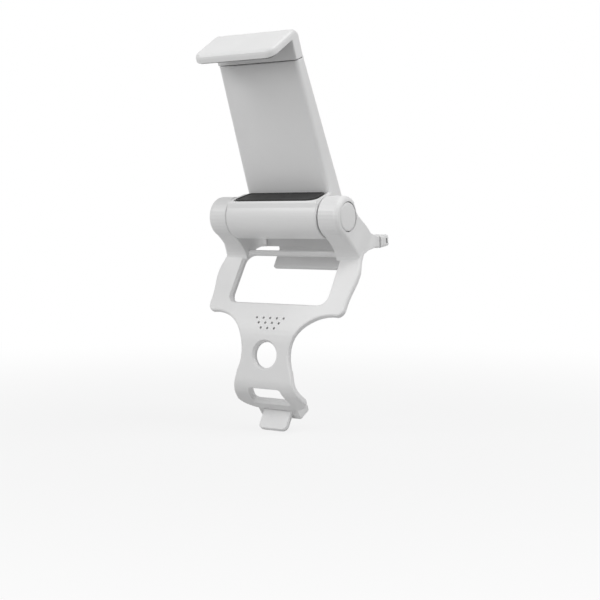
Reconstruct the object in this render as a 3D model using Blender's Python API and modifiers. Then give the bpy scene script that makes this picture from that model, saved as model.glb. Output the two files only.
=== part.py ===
"""Controller phone clip: a moulded face frame that snaps over a gamepad, with a sprung phone clamp
on a friction hinge. Run with: blender --background --python part.py

Metres, +Z up, +X to the viewer's right, -Y toward the viewer.
The frame's own axes are: x across, y up the face, z out of the face, from the middle of the window.
The clamp's own axes are: x across, y up the back plate, z forward over the jaws, from the hinge axis.
"""
import math

import bmesh
import bpy
from mathutils import Matrix, Vector

# how the clip stands: the face leans back, and the clamp leans forward from the face
FACE_RISE = math.radians(58.7)
CLAMP_TILT = math.radians(54.1)

# running and seating clearances
SEAT_GAP = 0.0003
SLIDE_GAP = 0.0004

# half widths that the rest follows: the clamp's barrel and its upper jaw
BARREL_HALF = 0.0214
JAW_HALF = 0.0186

# ears on both sides of the barrel, set in a little from the wings' edges
EAR_GAP = 0.0004
EAR_T = 0.0092
EAR_INSET = 0.0014
EAR_IN = BARREL_HALF + EAR_GAP
EAR_OUT = EAR_IN + EAR_T

# face plate
PLATE_T = 0.0024
PLATE_EDGE = 0.0007
WING_HALF = EAR_OUT + EAR_INSET
WING_POINT = 0.0015
WING_POINT_Y = 0.0025
WING_LOW = 0.0158
WING_CORNER = 0.0032
TOP_EDGE = 0.0128
STICK_X = 0.0280
STICK_Y = 0.0322
STICK_CLEAR = 0.0166
NECK_TURN = math.radians(25.0)
LIP_HALF = 0.0163
LIP_WIDE_AT = 0.0538
LIP_LENGTH = 0.0600
LIP_END_HALF = 0.0080
LIP_SHOULDER = 0.0016

# touch pad window, speaker holes, home hole and port window, all cut in the face plate
WINDOW_W = 0.0460
WINDOW_H = 0.0222
WINDOW_R = 0.0040
RIM_CHAMFER = 0.0010
SPEAKER_ROWS = (5, 4, 3)
SPEAKER_TOP = 0.0180
SPEAKER_PITCH = 0.0032
SPEAKER_ROW_PITCH = 0.00215
SPEAKER_R = 0.00055
HOME_Y = 0.0330
HOME_R = 0.0052
PORT_TOP = 0.0471
PORT_H = 0.0079
PORT_TOP_HALF = 0.0066
PORT_LOW_HALF = 0.0086
PORT_R = 0.0014

# how the neck bends down: an easy bend, a straight run, a tight bend, and the straight lip
BEND_START = 0.0190
EASY_R = 0.0226
EASY_TURN = math.radians(25.0)
EASY_STEPS = 5
RUN = 0.0138
TIGHT_R = 0.0080
TIGHT_TURN = math.radians(55.0)
TIGHT_STEPS = 9

# bottom hook and its finger tab
TOE_HALF = 0.0095
TOE_LOW = (-0.0012, -0.0044)
TOE_REAR = (0.0042, -0.0075)
TOE_END = (0.0059, -0.0056)
TOE_EDGE = 0.0005
TAB_HALF = 0.0068
TAB_LENGTH = 0.0080
TAB_T = 0.0018
TAB_R = 0.0022
TAB_EDGE = 0.0004
TAB_ROOT = 0.0008
TAB_DROP = 0.0002
GROOVE_W = 0.0005
GROOVE_DEPTH = 0.0009

# arms, ears and hinge
HINGE_Y = 0.0200
HINGE_Z = 0.0136
EAR_R = 0.0081
EAR_EDGE = 0.0020
ARM_FOOT = 0.0085
ARM_REAR = 0.0226
ARM_EDGE_GAP = 0.0002
FLARE_TOP = 0.0085
ARM_INNER_EDGE = 0.0004
ARM_FOOT_SHARE = 0.3
ARM_LINES = (1.0, 0.8, 0.6, 0.4, 0.2, 0.0)
LEG_LINES = (0.6, 0.8, 1.0)
LEG_STEP = 0.0008
LEG_OUT = WING_HALF + LEG_STEP
LEG_FLARE = 0.0060
LEG_START = (ARM_FOOT + 0.0008, -PLATE_T * 0.8)
LEG_LEAN = (0.0165, -0.0028)
LEG_BACK = ((ARM_REAR, -PLATE_T), (ARM_REAR + 0.0014, 0.0030), (ARM_REAR + 0.0029, 0.0085))
BOLT_R = 0.0020
BOLT_CLEAR = 0.00005
HEAD_R = 0.0036
HEAD_T = 0.0024
CAP_R = 0.0056
CAP_T = 0.0018
NUT_R = 0.0038
WASHER_R = 0.0046
WASHER_T = 0.0010
WAVE_T = 0.0008

# rear hook: where the arms' legs end, low and top, and how far the bar goes on back from there
HOOK_OVER = 0.0003
HOOK_HALF = LEG_OUT + HOOK_OVER
HOOK_LOW = (0.0201, -0.0102)
HOOK_TOP = (0.0237, -0.0073)
HOOK_T = 0.0062
HOOK_EDGE = 0.0009
HOOK_SEAM_SHARE = 0.3
HOOK_LIP_HALF = 0.0180
HOOK_LIP_END = 0.0123
HOOK_LIP_T = 0.0022
HOOK_LIP_DEPTH = 0.0156
HOOK_LIP_TURN = 0.0216
HOOK_LIP_EDGE = 0.0006
HOOK_SCREW_X = (EAR_IN + LEG_OUT) / 2.0
HOOK_SCREW_R = 0.0011
HOOK_SCREW_HEAD = 0.0019
HOOK_SCREW_HEAD_T = 0.0013
HOOK_SCREW_LENGTH = 0.0090
HOOK_SLOT_W = 0.0011
HOOK_SLOT_H = 0.0021
HOOK_SLOT_DEPTH = 0.0025
HOOK_SLOT_IN = 0.0019

# lower jaw and its back housing
BARREL_R = 0.00865
LEDGE_FRONT = 0.0050
LEDGE_FRONT_Y = 0.0086
LEDGE_REAR_Y = 0.0071
NOSE_LOW = 0.0058
NOSE_R = 0.0007
PAD_T = 0.0012
PAD_MARGIN = 0.0014
PAD_NARROWING = 0.0014
PAD_HALF = BARREL_HALF - PAD_MARGIN
PAD_REAR_HALF = PAD_HALF - PAD_NARROWING
PAD_FRONT = 0.0041
PAD_CORNER = 0.0008
PAD_FRONT_CORNER = 0.0034
PAD_PROUD = 0.0002
REBATE = 0.0001
REBATE_HEIGHT = 0.0012
BACK_FRONT = 0.0072
BACK_LOW = -0.0035
BACK_TOP = 0.0602
BACK_HALF_LOW = PAD_HALF
BACK_HALF_TOP = JAW_HALF
BACK_DEPTH_LOW = 0.0092
BACK_DEPTH_TOP = 0.0056
BACK_EDGE = 0.0014
BACK_END_SHARE = 0.2
WALL = 0.0016
COVER_T = 0.0014
COVER_LOW = 0.0040
COVER_SCREW_R = 0.0009
COVER_SCREW_HEAD = 0.0017
COVER_SCREW_IN = 0.0042
COVER_SCREW_LOW = 0.0032
COVER_SCREW_TOP = 0.0038
COVER_BOSS_R = 0.0021

# upper jaw and its tongue, which stands over the hollow's floor and keeps some length inside when pulled out
HOLLOW_STEP = 0.0010
HOLLOW_FLOOR = LEDGE_REAR_Y + HOLLOW_STEP
TONGUE_CLEAR = 0.0059
TONGUE_T = 0.0020
TONGUE_HALF = JAW_HALF - COVER_SCREW_IN - COVER_BOSS_R - SLIDE_GAP
TONGUE_FOOT = HOLLOW_FLOOR + TONGUE_CLEAR
SLOT_W = 0.0036
SLOT_LENGTH = 0.0178
TONGUE_RAIL = 0.0021
SLOT_X = TONGUE_HALF - TONGUE_RAIL - SLOT_W / 2.0
SLOT_TOP = TONGUE_FOOT + SLOT_LENGTH
JAW_RISE = 0.0078
JAW_LOW = BACK_TOP + JAW_RISE
JAW_ROOM = 0.0200
JAW_T = 0.0032
JAW_SLOPE = math.radians(9.3)
JAW_REACH = 0.0073
JAW_CORNER = 0.0038
JAW_BACK_R = 0.0034
JAW_EDGE = 0.0015
JAW_LOWER_SHARE = 0.3
UPPER_PAD_T = 0.0008
UPPER_PAD_INSET = 0.0010
UPPER_PAD_SUNK = 0.0003

# springs
SPRING_R = 0.00115
SPRING_WIRE = 0.00020
SPRING_TURNS = 12
SPRING_POINTS = 8
SPRING_STEP = 0.0005
SPRING_FOOT = TONGUE_FOOT + SPRING_STEP
POST_R = 0.0009
POST_STEP = 0.0010
POST_Y = TONGUE_FOOT - POST_STEP

COLOURS = {
    "white_abs": ((0.79, 0.79, 0.80), 0.38, 0.0),
    "pad_rubber": ((0.025, 0.025, 0.027), 0.75, 0.0),
    "zinc_steel": ((0.55, 0.56, 0.58), 0.35, 1.0),
    "spring_steel": ((0.45, 0.46, 0.48), 0.30, 1.0),
    "acetal": ((0.72, 0.71, 0.68), 0.45, 0.0),
}


# Scene, materials and small makers

def clear_scene():
    for old in list(bpy.data.objects):
        bpy.data.objects.remove(old, do_unlink=True)


def collection(name):
    group = bpy.data.collections.new(name)
    bpy.context.scene.collection.children.link(group)
    return group


def material(name):
    found = bpy.data.materials.get(name)
    if found:
        return found
    colour, roughness, metallic = COLOURS[name]
    made = bpy.data.materials.new(name)
    made.use_nodes = True
    shader = made.node_tree.nodes["Principled BSDF"]
    shader.inputs["Base Color"].default_value = (*colour, 1.0)
    shader.inputs["Roughness"].default_value = roughness
    shader.inputs["Metallic"].default_value = metallic
    return made


def evaluated_mesh(obj):
    """The object's mesh as its modifiers leave it, in its own axes."""
    graph = bpy.context.evaluated_depsgraph_get()
    graph.update()
    return bpy.data.meshes.new_from_object(obj.evaluated_get(graph))


def scratch(mesh, name="form"):
    """A working object that is not one of the clip's pieces yet."""
    obj = bpy.data.objects.new(name, mesh)
    CUTTERS.objects.link(obj)
    obj.hide_render = True
    obj.display_type = "WIRE"
    return obj


def piece(name, obj, colour, parent):
    """Turn a working object into one of the clip's named pieces."""
    mesh = evaluated_mesh(obj)
    bpy.data.objects.remove(obj, do_unlink=True)
    mesh.materials.clear()
    mesh.materials.append(material(colour))
    mesh.shade_smooth()
    mesh.set_sharp_from_angle(angle=math.radians(32.0))
    made = bpy.data.objects.new(name, mesh)
    CLIP.objects.link(made)
    made.parent = parent
    return made


def welded(mesh, distance=2e-6):
    """Merge the points that a Boolean leaves on top of each other."""
    form = bmesh.new()
    form.from_mesh(mesh)
    bmesh.ops.remove_doubles(form, verts=form.verts, dist=distance)
    bmesh.ops.dissolve_degenerate(form, dist=distance, edges=form.edges)
    form.to_mesh(mesh)
    form.free()
    return mesh


def combine(obj, others, operation):
    """Join, cut or intersect obj with each of the others, which are used up."""
    for other in others:
        step = obj.modifiers.new(operation.lower(), "BOOLEAN")
        step.operation = operation
        step.solver = "EXACT"
        step.object = other
        mesh = evaluated_mesh(obj)
        obj.modifiers.clear()
        obj.data = welded(mesh)
        bpy.data.objects.remove(other, do_unlink=True)
    return obj


def join(obj, *others):
    return combine(obj, others, "UNION")


def cut(obj, *others):
    return combine(obj, others, "DIFFERENCE")


def bevelled(obj, width, segments=2, angle=30.0):
    step = obj.modifiers.new("edge", "BEVEL")
    step.width = width
    step.segments = segments
    step.limit_method = "ANGLE"
    step.angle_limit = math.radians(angle)
    mesh = evaluated_mesh(obj)
    obj.modifiers.clear()
    obj.data = mesh
    return obj


def softened(obj, width, share, segments=3, angle=35.0):
    """Round the sharp edges by the width times the share that a function gives for an edge's middle."""
    form = bmesh.new()
    form.from_mesh(obj.data)
    weights = form.edges.layers.float.new("bevel_weight_edge")
    for edge in form.edges:
        if edge.calc_face_angle(0.0) > math.radians(angle):
            edge[weights] = share((edge.verts[0].co + edge.verts[1].co) / 2.0)
    form.to_mesh(obj.data)
    form.free()
    step = obj.modifiers.new("edge", "BEVEL")
    step.width = width
    step.segments = segments
    step.limit_method = "WEIGHT"
    step.use_clamp_overlap = False
    mesh = evaluated_mesh(obj)
    obj.modifiers.clear()
    obj.data = mesh
    return obj


def block(low, high):
    """A box between two corners."""
    mesh = bpy.data.meshes.new("block")
    form = bmesh.new()
    bmesh.ops.create_cube(form, size=1.0)
    size = Vector(high) - Vector(low)
    middle = (Vector(high) + Vector(low)) / 2.0
    for vert in form.verts:
        vert.co = Vector(vert.co[i] * size[i] + middle[i] for i in range(3))
    form.to_mesh(mesh)
    form.free()
    return scratch(mesh)


def rod(radius, x_low, x_high, y=0.0, z=0.0, sides=40, tip=None):
    """A round bar along x, or a cone where tip gives the radius at its high end."""
    mesh = bpy.data.meshes.new("rod")
    form = bmesh.new()
    end = radius if tip is None else tip
    bmesh.ops.create_cone(form, cap_ends=True, segments=sides, radius1=radius, radius2=end,
                          depth=x_high - x_low)
    place = Matrix.Translation(((x_low + x_high) / 2.0, y, z))
    form.transform(place @ Matrix.Rotation(math.radians(90.0), 4, "Y"))
    form.to_mesh(mesh)
    form.free()
    return scratch(mesh)


def post(radius, x, y, z_low, z_high, sides=24, tip=None):
    """A round bar along z, or a cone where tip gives the radius at its high end."""
    mesh = bpy.data.meshes.new("post")
    form = bmesh.new()
    end = radius if tip is None else tip
    bmesh.ops.create_cone(form, cap_ends=True, segments=sides, radius1=radius, radius2=end,
                          depth=z_high - z_low)
    form.transform(Matrix.Translation((x, y, (z_low + z_high) / 2.0)))
    form.to_mesh(mesh)
    form.free()
    return scratch(mesh)


def prism(outline, low, high, along="Z"):
    """A flat outline given thickness. Along Z the outline is (x, y), and along X it is (y, z)."""
    curve = bpy.data.curves.new("outline", "CURVE")
    curve.dimensions = "2D"
    curve.fill_mode = "BOTH"
    curve.extrude = (high - low) / 2.0
    line = curve.splines.new("POLY")
    line.points.add(len(outline) - 1)
    for point, (a, b) in zip(line.points, outline):
        point.co = (a, b, 0.0, 1.0)
    line.use_cyclic_u = True
    holder = bpy.data.objects.new("outline", curve)
    CUTTERS.objects.link(holder)
    mesh = evaluated_mesh(holder)
    bpy.data.objects.remove(holder, do_unlink=True)
    form = bmesh.new()
    form.from_mesh(mesh)
    bmesh.ops.remove_doubles(form, verts=form.verts, dist=1e-6)
    bmesh.ops.dissolve_limit(form, angle_limit=math.radians(1.0), verts=form.verts, edges=form.edges)
    bmesh.ops.recalc_face_normals(form, faces=form.faces)
    lift = Matrix.Translation((0.0, 0.0, (high + low) / 2.0))
    if along == "X":
        turn = Matrix(((0, 0, 1, 0), (1, 0, 0, 0), (0, 1, 0, 0), (0, 0, 0, 1)))
        lift = turn @ lift
    form.transform(lift)
    form.to_mesh(mesh)
    form.free()
    return scratch(mesh)


def flared(outer, inner, top, low):
    """A cutter between two outlines of as many points: the wide one at the top, the small one below."""
    mesh = bpy.data.meshes.new("flare")
    form = bmesh.new()
    upper = [form.verts.new((x, y, top)) for x, y in outer]
    lower = [form.verts.new((x, y, low)) for x, y in inner]
    form.faces.new(upper)
    form.faces.new(list(reversed(lower)))
    count = len(upper)
    for i in range(count):
        after = (i + 1) % count
        form.faces.new((lower[i], lower[after], upper[after], upper[i]))
    bmesh.ops.recalc_face_normals(form, faces=form.faces)
    form.to_mesh(mesh)
    form.free()
    return scratch(mesh)


def arc(cx, cy, radius, start, end, steps):
    """Points along an arc, angles in degrees."""
    points = []
    for i in range(steps + 1):
        turn = math.radians(start + (end - start) * i / steps)
        points.append((cx + radius * math.cos(turn), cy + radius * math.sin(turn)))
    return points


def swept(first, lean, last, steps):
    """Points of a smooth bend from one point to another that leans toward a third."""
    points = []
    for i in range(steps + 1):
        t = i / steps
        points.append(tuple((1.0 - t) ** 2 * a + 2.0 * t * (1.0 - t) * b + t * t * c
                            for a, b, c in zip(first, lean, last)))
    return points


def eased(value, start, end):
    """A smooth step from 0 at the start to 1 at the end."""
    share = min(max((value - start) / (end - start), 0.0), 1.0)
    return share * share * (3.0 - 2.0 * share)


def rounded(corners, radius, steps=5):
    """A closed outline with rounded corners, by one radius or by one for each corner."""
    points = []
    count = len(corners)
    radii = radius if isinstance(radius, tuple) else (radius,) * count
    for i, radius in enumerate(radii):
        here = Vector(corners[i])
        before = (Vector(corners[i - 1]) - here).normalized()
        after = (Vector(corners[(i + 1) % count]) - here).normalized()
        half = before.angle(after) / 2.0
        reach = radius / math.tan(half)
        centre = here + (before + after).normalized() * radius / math.sin(half)
        first = here + before * reach - centre
        sweep = first.angle_signed(here + after * reach - centre)
        for k in range(steps + 1):
            turned = first.copy()
            turned.rotate(Matrix.Rotation(-sweep * k / steps, 2))
            points.append(tuple(centre + turned))
    return points


def rectangle(half_x, y_low, y_high):
    return [(-half_x, y_low), (half_x, y_low), (half_x, y_high), (-half_x, y_high)]


def mirrored(right):
    """A closed outline from its right half, listed from the top centre line down to the bottom one."""
    return right + [(-x, y) for x, y in reversed(right)]


# Face frame

def bend_place(distance):
    """Where the outer surface lies at a distance down the face: y, z and the pitch of the surface."""
    y, z, pitch = -min(distance, BEND_START), 0.0, 0.0
    left = distance - BEND_START
    for radius, turn, length in ((EASY_R, EASY_TURN, 0.0), (0.0, 0.0, RUN),
                                 (TIGHT_R, TIGHT_TURN, 0.0), (0.0, 0.0, math.inf)):
        if left <= 0.0:
            break
        if radius:
            step = min(turn, left / radius)
            y -= radius * (math.sin(pitch + step) - math.sin(pitch))
            z -= radius * (math.cos(pitch) - math.cos(pitch + step))
            pitch += step
            left -= radius * step
        else:
            step = min(length, left)
            y -= step * math.cos(pitch)
            z -= step * math.sin(pitch)
            left -= step
    return y, z, pitch


def bend_down(obj):
    """Bend the flat face plate along the neck, after cutting it across at each bend line."""
    form = bmesh.new()
    form.from_mesh(obj.data)
    easy_end = BEND_START + EASY_R * EASY_TURN
    tight_start = easy_end + RUN
    tight_end = tight_start + TIGHT_R * TIGHT_TURN
    lines = [BEND_START + (easy_end - BEND_START) * i / EASY_STEPS for i in range(EASY_STEPS + 1)]
    lines += [tight_start + (tight_end - tight_start) * i / TIGHT_STEPS for i in range(TIGHT_STEPS + 1)]
    for line in lines:
        everything = form.verts[:] + form.edges[:] + form.faces[:]
        bmesh.ops.bisect_plane(form, geom=everything, dist=1e-7, plane_co=(0.0, -line, 0.0),
                               plane_no=(0.0, 1.0, 0.0))
    for vert in form.verts:
        if vert.co.y < -BEND_START:
            y, z, pitch = bend_place(-vert.co.y)
            height = vert.co.z
            vert.co.y = y - height * math.sin(pitch)
            vert.co.z = z + height * math.cos(pitch)
    form.to_mesh(obj.data)
    form.free()
    return obj


def wing_edge(high, low, steps=6):
    """The wing's side edge: two shallow hollows that meet in a soft point, as half cosine waves."""
    points = []
    for start, end, first, last in ((high, WING_POINT_Y, 0.0, 1.0), (WING_POINT_Y, low, 1.0, 0.0)):
        for i in range(steps):
            share = i / steps
            swell = first + (last - first) * (1.0 - math.cos(math.pi * share)) / 2.0
            points.append((WING_HALF + WING_POINT * swell ** 1.5, start + (end - start) * share))
    return points + [(WING_HALF, low)]


def plate_outline():
    """The face plate's outline, laid flat: strip over the window, arm roots, wings, neck and lip."""
    low_angle = 180.0 + math.degrees(NECK_TURN)
    root = ARM_REAR - 0.0012
    right = [(EAR_IN, TOP_EDGE), (EAR_IN + 0.0012, TOP_EDGE + 0.0012), (EAR_IN + 0.0012, root)]
    right += [(EAR_OUT - 0.0012, root)]
    right += wing_edge(TOP_EDGE, -WING_LOW + WING_CORNER)
    right += arc(WING_HALF - WING_CORNER, -WING_LOW + WING_CORNER, WING_CORNER, 0.0, -80.0, 5)[1:]
    right += arc(STICK_X, -STICK_Y, STICK_CLEAR, 92.0, low_angle, 14)
    right += swept((LIP_HALF, -LIP_WIDE_AT), (LIP_HALF - LIP_SHOULDER / 2.0, -LIP_LENGTH + LIP_SHOULDER),
                   (LIP_END_HALF, -LIP_LENGTH), 8)
    return mirrored(right)


def round_hole(radius, x, y):
    return post(radius, x, y, -2.0 * PLATE_T, PLATE_T, sides=12)


def rimmed_cut(plate, corners, radius, steps=5):
    """Cut an opening with rounded corners and a chamfered rim on the outer side."""
    edge = rounded(corners, radius, steps)
    middle = sum((Vector(p) for p in edge), Vector((0.0, 0.0))) / len(edge)
    wide = []
    for p in edge:
        away = Vector(p) - middle
        wide.append(tuple(Vector(p) + Vector((math.copysign(RIM_CHAMFER, away.x),
                                              math.copysign(RIM_CHAMFER, away.y)))))
    return cut(plate, prism(edge, -2.0 * PLATE_T, PLATE_T), flared(wide, edge, 0.0002, -RIM_CHAMFER))


def face_plate():
    plate = bevelled(prism(plate_outline(), -PLATE_T, 0.0), PLATE_EDGE, 2)
    window = rectangle(WINDOW_W / 2.0, -WINDOW_H / 2.0, WINDOW_H / 2.0)
    rimmed_cut(plate, window, WINDOW_R)
    for row, count in enumerate(SPEAKER_ROWS):
        y = -SPEAKER_TOP - row * SPEAKER_ROW_PITCH
        for i in range(count):
            cut(plate, round_hole(SPEAKER_R, (i - (count - 1) / 2.0) * SPEAKER_PITCH, y))
    cut(plate, post(HOME_R, 0.0, -HOME_Y, -2.0 * PLATE_T, PLATE_T, 32))
    cut(plate, post(HOME_R, 0.0, -HOME_Y, -RIM_CHAMFER, 0.0002, 32, tip=HOME_R + RIM_CHAMFER))
    port = [(-PORT_LOW_HALF, -PORT_TOP - PORT_H), (PORT_LOW_HALF, -PORT_TOP - PORT_H),
            (PORT_TOP_HALF, -PORT_TOP), (-PORT_TOP_HALF, -PORT_TOP)]
    rimmed_cut(plate, port, PORT_R, 3)
    return bend_down(plate)


def bottom_hook():
    """The toe that reaches under the gamepad's lower edge, and the finger tab that pulls it off."""
    y, z, pitch = bend_place(LIP_LENGTH)
    inner = y + PLATE_T * math.sin(pitch)
    section = [(y + TOE_EDGE, z + TOE_EDGE)] + [(y + a, z + b) for a, b in (TOE_LOW, TOE_REAR, TOE_END)]
    section += [(inner + TOE_EDGE, z), (inner - TOE_EDGE, z + TOE_EDGE)]
    toe = bevelled(prism(section, -TOE_HALF, TOE_HALF, "X"), TOE_EDGE)
    outline = rounded(rectangle(TAB_HALF, y - TAB_LENGTH, inner + TAB_ROOT), TAB_R, 4)
    top = z - TAB_DROP
    return join(toe, bevelled(prism(outline, top - TAB_T, top), TAB_EDGE, 1))


def tab_groove():
    """The narrow groove between the lip's lower edge and the tab."""
    y, z, _ = bend_place(LIP_LENGTH)
    return block((-TAB_HALF, y - GROOVE_DEPTH, z - TAB_DROP), (TAB_HALF, y + GROOVE_DEPTH, z + GROOVE_W))


def arm_swell(height):
    """How far the arm's outer face stands outside the ear at a height: out to the wing, then to the leg."""
    wing = (EAR_INSET - ARM_EDGE_GAP) * eased(height, FLARE_TOP, 0.0)
    leg = (LEG_STEP + ARM_EDGE_GAP) * eased(height, -PLATE_T, -LEG_FLARE)
    return wing + leg


def arm_profile():
    """The arm seen from the side in (y, z): the ear, the hollow front, the leg and the rear line."""
    points = arc(HINGE_Y, HINGE_Z, EAR_R, -10.0, 190.0, 19)
    points += swept((ARM_FOOT + 0.0032, 0.0090), (ARM_FOOT + 0.0028, 0.0014), (ARM_FOOT, -0.0003), 5)
    points += swept(LEG_START, LEG_LEAN, HOOK_LOW, 4)
    return points + [HOOK_TOP, *LEG_BACK]


def layered(profile, layers, share):
    """A body across x from one side outline: each layer is (x, how far the outline is drawn in there)."""
    mesh = bpy.data.meshes.new("layers")
    form = bmesh.new()
    count = len(profile)
    inward = []
    for i in range(count):
        here = Vector(profile[i])
        before = (here - Vector(profile[i - 1])).normalized()
        after = (Vector(profile[(i + 1) % count]) - here).normalized()
        middle = (before + after).normalized()
        inward.append(Vector((-middle.y, middle.x)) / max(middle.dot(after), 0.5))
    rings = []
    for x, inset in layers:
        ring = []
        for corner, turn in zip(profile, inward):
            y, z = Vector(corner) + turn * inset * share(corner[1])
            ring.append(form.verts.new((x, y, z)))
        rings.append(ring)
    for low, high in zip(rings, rings[1:]):
        for i in range(count):
            after = (i + 1) % count
            form.faces.new((low[i], low[after], high[after], high[i]))
    form.faces.new(rings[0])
    form.faces.new(rings[-1])
    bmesh.ops.recalc_face_normals(form, faces=form.faces)
    form.to_mesh(mesh)
    form.free()
    return scratch(mesh)


def arm(side):
    """An arm with its ear and the leg that carries the rear hook. The outer face swells as it goes down."""
    layers = [(side * EAR_IN, ARM_INNER_EDGE), (side * (EAR_IN + ARM_INNER_EDGE), 0.0)]
    for step in (4, 3, 2, 1, 0):
        turn = math.radians(90.0 * step / 4)
        layers.append((side * (EAR_OUT - EAR_EDGE * (1.0 - math.cos(turn))), EAR_EDGE * (1.0 - math.sin(turn))))
    body = layered(arm_profile(), layers,
                   lambda height: ARM_FOOT_SHARE + (1.0 - ARM_FOOT_SHARE) * eased(height, 0.0, FLARE_TOP))
    form = bmesh.new()
    form.from_mesh(body.data)
    heights = [FLARE_TOP * share for share in ARM_LINES]
    heights += [-PLATE_T] + [-LEG_FLARE * share for share in LEG_LINES]
    for height in heights:
        everything = form.verts[:] + form.edges[:] + form.faces[:]
        bmesh.ops.bisect_plane(form, geom=everything, dist=1e-5, plane_co=(0.0, 0.0, height),
                               plane_no=(0.0, 0.0, 1.0))
    for vert in form.verts:
        out = (abs(vert.co.x) - EAR_IN - ARM_INNER_EDGE) / (EAR_OUT - EAR_EDGE - EAR_IN - ARM_INNER_EDGE)
        vert.co.x += side * arm_swell(vert.co.z) * min(max(out, 0.0), 1.0)
    form.to_mesh(body.data)
    form.free()
    return body


def ear_cuts(side):
    """The bolt's hole, the pocket for its head or nut, and the recess for the cap."""
    def span(a, b):
        return sorted((side * a, side * b))
    bore = rod(BOLT_R + 0.0002, *span(EAR_IN - 0.002, EAR_OUT + 0.001), HINGE_Y, HINGE_Z, 32)
    pocket_floor = EAR_OUT - CAP_T - SEAT_GAP - HEAD_T - WAVE_T - 3.0 * SEAT_GAP
    pocket = rod(NUT_R + 0.0006, *span(pocket_floor, EAR_OUT + 0.001), HINGE_Y, HINGE_Z, 32)
    recess = rod(CAP_R + SEAT_GAP, *span(EAR_OUT - CAP_T - SEAT_GAP, EAR_OUT + 0.001), HINGE_Y, HINGE_Z, 40)
    return bore, pocket, recess


def hook_place(back, up):
    """A place in the rear bar's section: how far behind the legs' ends, and how far up from its middle."""
    low, top = Vector(HOOK_LOW), Vector(HOOK_TOP)
    rise = (top - low).normalized()
    return tuple((low + top) / 2.0 + Vector((rise.y, -rise.x)) * back + rise * up)


def hook_edge_share(where):
    """How much of the full rounding a place on the rear bar gets: little at its joint with the legs."""
    low, top = Vector(HOOK_LOW), Vector(HOOK_TOP)
    rise = (top - low).normalized()
    behind = (where.yz - (low + top) / 2.0).dot(Vector((rise.y, -rise.x)))
    return HOOK_SEAM_SHARE if behind < 2.0 * SEAT_GAP else 1.0


def hook_rod(radius, x, start, end, sides=24):
    """A round bar along the rear bar's screws, between two distances behind the legs' ends."""
    body = post(radius, 0.0, 0.0, -end, -start, sides)
    rise = Vector(HOOK_TOP) - Vector(HOOK_LOW)
    middle = hook_place(0.0, 0.0)
    turn = Matrix.Rotation(math.atan2(rise.y, rise.x), 4, "X")
    body.data.transform(Matrix.Translation((x, *middle)) @ turn)
    return body


def screw_holes(side):
    return (hook_rod(HOOK_SCREW_R + 0.0002, side * HOOK_SCREW_X,
                     -HOOK_SCREW_LENGTH + HOOK_T + SEAT_GAP - 0.0010, 0.0010),)


def make_face_frame(parent):
    body = face_plate()
    for side in (1, -1):
        join(body, arm(side))
    join(body, bottom_hook())
    cut(body, tab_groove())
    for side in (1, -1):
        cut(body, *ear_cuts(side), *screw_holes(side))
    piece("face_frame", body, "white_abs", parent)


# Rear hook and its screws

def make_rear_hook(parent):
    half = (Vector(HOOK_TOP) - Vector(HOOK_LOW)).length / 2.0
    near, far = SEAT_GAP, SEAT_GAP + HOOK_T
    section = [hook_place(near, -half), hook_place(far, -half), hook_place(far, half), hook_place(near, half)]
    bar = softened(prism(section, -HOOK_HALF, HOOK_HALF, "X"), HOOK_EDGE, hook_edge_share)
    inner = -HOOK_LIP_DEPTH + HOOK_LIP_T
    lip = [(HOOK_LIP_END, inner), (HOOK_LIP_END, -HOOK_LIP_DEPTH), (HOOK_LIP_TURN, -HOOK_LIP_DEPTH)]
    lip += [hook_place(far - HOOK_LIP_EDGE, HOOK_EDGE - half), hook_place(near + HOOK_LIP_T, HOOK_EDGE - half)]
    lip += [(HOOK_LIP_TURN - HOOK_EDGE, inner)]
    hook = join(bar, bevelled(prism(lip, -HOOK_LIP_HALF, HOOK_LIP_HALF, "X"), HOOK_LIP_EDGE, 2))
    for side in (1, -1):
        x = side * HOOK_SCREW_X
        cut(hook, hook_rod(HOOK_SCREW_R + 0.0002, x, near - 0.001, far + 0.001),
            hook_rod(HOOK_SCREW_HEAD + SEAT_GAP, x, far - HOOK_SCREW_HEAD_T - SEAT_GAP, far + 0.001))
        ends = sorted((side * (HOOK_HALF - HOOK_SLOT_DEPTH), side * (HOOK_HALF + 0.001)))
        slot = [hook_place(far - HOOK_SLOT_IN + a * HOOK_SLOT_W / 2.0, b * HOOK_SLOT_H / 2.0)
                for a, b in ((-1, -1), (1, -1), (1, 1), (-1, 1))]
        cut(hook, prism(slot, *ends, "X"))
    piece("rear_hook", hook, "white_abs", parent)
    for side, name in ((1, "right"), (-1, "left")):
        x = side * HOOK_SCREW_X
        screw = join(hook_rod(HOOK_SCREW_HEAD, x, far - HOOK_SCREW_HEAD_T, far),
                     hook_rod(HOOK_SCREW_R, x, far - HOOK_SCREW_LENGTH, far - 0.0005))
        piece("rear_hook_screw_" + name, screw, "zinc_steel", parent)


# Hinge hardware, all on the frame

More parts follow.
